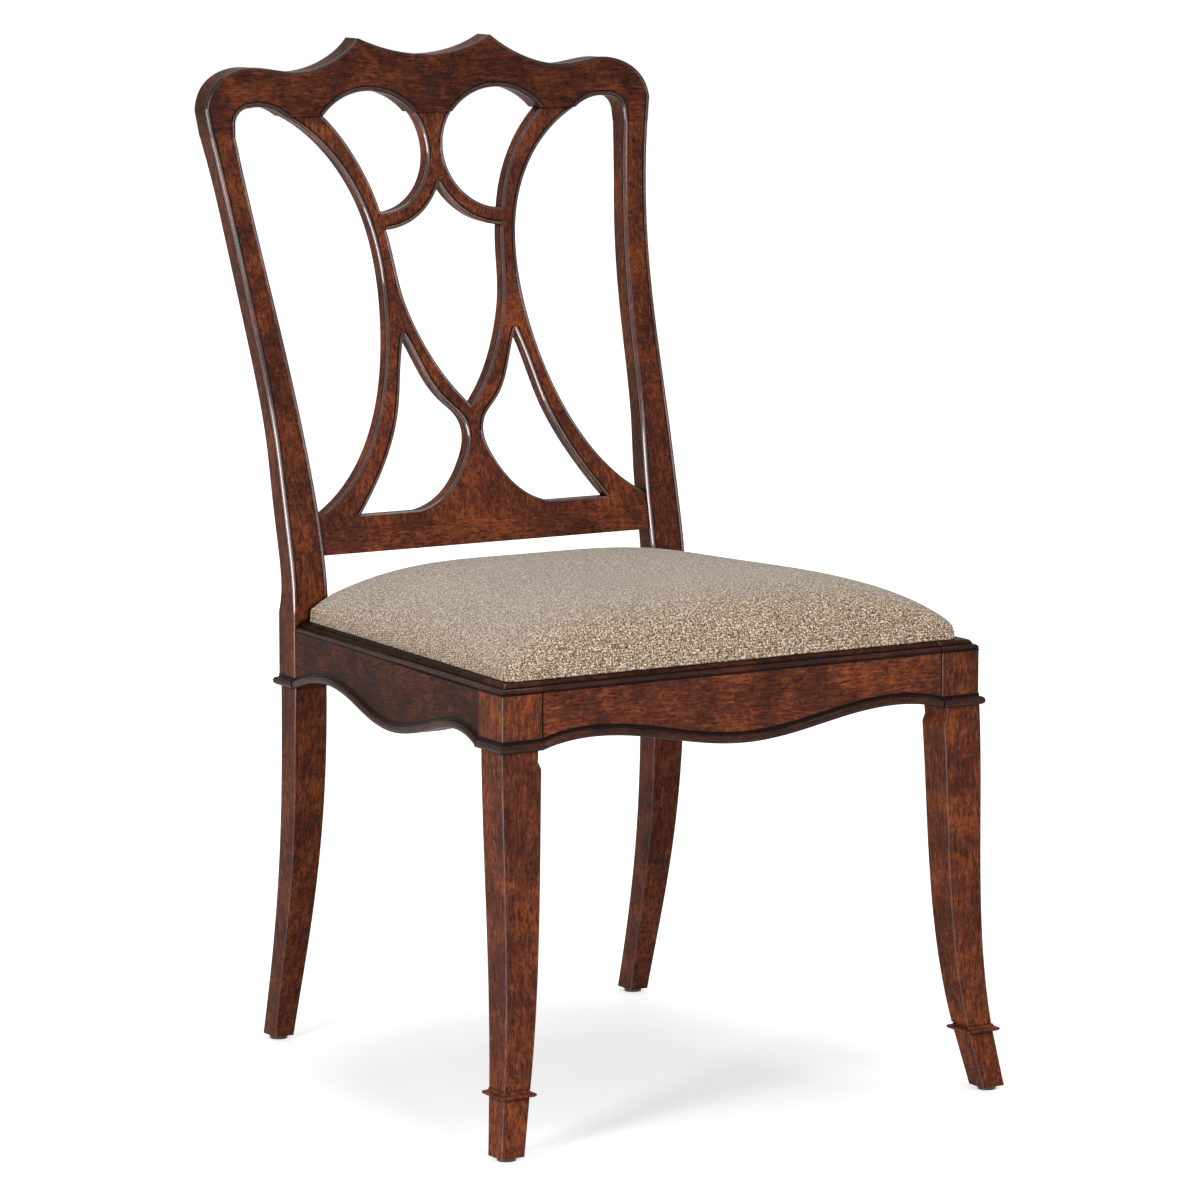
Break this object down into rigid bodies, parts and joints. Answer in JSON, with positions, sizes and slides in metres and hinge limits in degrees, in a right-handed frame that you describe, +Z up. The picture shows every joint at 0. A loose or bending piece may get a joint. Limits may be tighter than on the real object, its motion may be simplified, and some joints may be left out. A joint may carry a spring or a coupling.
{
  "type": "side chair",
  "caption": "Armless wooden dining chair with a pierced splat, serpentine crest rail, raked posts, sabre front legs, waved aprons and an upholstered fabric seat.",
  "frame": {"origin": "on the floor, below the middle of the bounding box", "axes": "+Z up, -Y the way the sitter faces, +X towards the sitter's left"},
  "size_m": [0.5776, 0.6656, 1.0175],
  "materials": {
    "polished_wood": "glossy dark red-brown varnish",
    "bare_wood": "unfinished",
    "plywood": "unfinished",
    "foam": "soft open foam",
    "seat_fabric": "beige flecked weave",
    "dust_cloth": "thin black cloth",
    "steel": "zinc plated",
    "glide": "dark nylon"
  },
  "bodies": {
    "root": {"front_leg_left": "polished_wood", "front_leg_right": "polished_wood", "back_post_left": "polished_wood", "back_post_right": "polished_wood", "crest_rail": "polished_wood", "back_splat": "polished_wood", "lower_back_rail": "polished_wood", "front_seat_rail": "polished_wood", "left_seat_rail": "polished_wood", "right_seat_rail": "polished_wood", "rear_seat_rail": "polished_wood", "apron_bead_front": "polished_wood", "apron_bead_left": "polished_wood", "apron_bead_right": "polished_wood", "leg_bead_front_left": "polished_wood", "leg_bead_front_right": "polished_wood", "leg_bead_rear_left": "polished_wood", "leg_bead_rear_right": "polished_wood", "corner_block_front_left": "bare_wood", "corner_block_front_right": "bare_wood", "corner_block_rear_left": "bare_wood", "corner_block_rear_right": "bare_wood", "front_rail_dowels": "bare_wood", "left_rail_dowels": "bare_wood", "right_rail_dowels": "bare_wood", "rear_rail_dowels": "bare_wood", "crest_dowels": "bare_wood", "lower_back_rail_dowels": "bare_wood", "seat_board": "plywood", "seat_foam": "foam", "seat_cover": "seat_fabric", "dust_cover": "dust_cloth", "cover_staples": "steel", "corner_block_screws": "steel", "seat_screws": "steel", "front_glide_left": "glide", "front_glide_right": "glide", "rear_glide_left": "glide", "rear_glide_right": "glide"}
  },
  "joints": []
}
